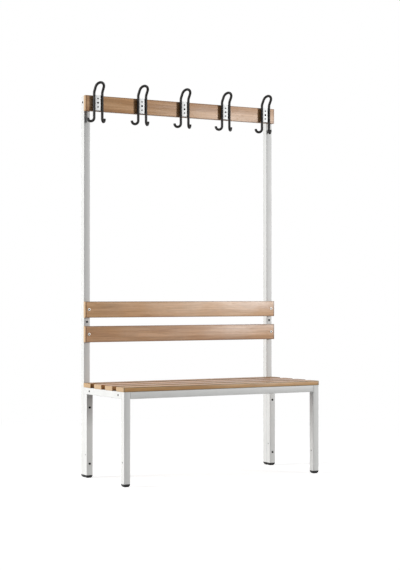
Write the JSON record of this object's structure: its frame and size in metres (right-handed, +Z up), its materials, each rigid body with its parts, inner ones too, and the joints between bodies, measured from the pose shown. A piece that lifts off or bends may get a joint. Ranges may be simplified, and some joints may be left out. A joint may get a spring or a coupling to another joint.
{
  "type": "cloakroom bench",
  "caption": "Single-sided cloakroom bench: square-tube steel frame, slatted timber seat and backrest, and a timber board above carrying double wire coat hooks.",
  "frame": {"origin": "on the floor, under the middle of the bench's plan", "axes": "+Z up, +X along the bench towards the sitter's left, +Y from the seat's front edge to the posts"},
  "size_m": [1, 0.426, 1.7671],
  "materials": {
    "frame_paint": "light grey-white powder coat, satin",
    "timber": "lacquered reddish-brown hardwood, satin",
    "hook_black": "black coated steel rod, satin",
    "plate_steel": "bright zinc-plated steel plate",
    "foot_plastic": "black moulded plastic",
    "cap_plastic": "light grey moulded plastic",
    "bolt_black": "black-finished steel, satin",
    "screw_steel": "bright zinc-plated steel"
  },
  "bodies": {
    "root": {"back_screw_lower_left": "screw_steel", "back_screw_lower_right": "screw_steel", "back_screw_upper_left": "screw_steel", "back_screw_upper_right": "screw_steel", "back_slat_lower": "timber", "back_slat_upper": "timber", "board_screw_lower_left": "screw_steel", "board_screw_lower_right": "screw_steel", "board_screw_upper_left": "screw_steel", "board_screw_upper_right": "screw_steel", "end_rail_left": "frame_paint", "end_rail_right": "frame_paint", "foot_front_left": "foot_plastic", "foot_front_right": "foot_plastic", "foot_post_left": "foot_plastic", "foot_post_right": "foot_plastic", "foot_rear_left": "foot_plastic", "foot_rear_right": "foot_plastic", "front_leg_left": "frame_paint", "front_leg_right": "frame_paint", "front_rail": "frame_paint", "hook_board": "timber", "hook_plate_1": "plate_steel", "hook_plate_2": "plate_steel", "hook_plate_3": "plate_steel", "hook_plate_4": "plate_steel", "hook_plate_5": "plate_steel", "hook_rod_1": "hook_black", "hook_rod_2": "hook_black", "hook_rod_3": "hook_black", "hook_rod_4": "hook_black", "hook_rod_5": "hook_black", "hook_screw_1": "bolt_black", "hook_screw_2": "bolt_black", "hook_screw_3": "bolt_black", "hook_screw_4": "bolt_black", "hook_screw_5": "bolt_black", "leg_bolt_lower_left": "bolt_black", "leg_bolt_lower_right": "bolt_black", "leg_bolt_upper_left": "bolt_black", "leg_bolt_upper_right": "bolt_black", "post_bolt_left": "bolt_black", "post_bolt_right": "bolt_black", "post_cap_left": "cap_plastic", "post_cap_right": "cap_plastic", "post_left": "frame_paint", "post_right": "frame_paint", "rail_bolt_front_left": "bolt_black", "rail_bolt_front_right": "bolt_black", "rail_bolt_rear_left": "bolt_black", "rail_bolt_rear_right": "bolt_black", "rear_leg_left": "frame_paint", "rear_leg_right": "frame_paint", "rear_rail": "frame_paint", "seat_slat_1": "timber", "seat_slat_2": "timber", "seat_slat_3": "timber", "seat_slat_4": "timber", "side_plug_left": "foot_plastic", "side_plug_right": "foot_plastic"}
  },
  "joints": []
}
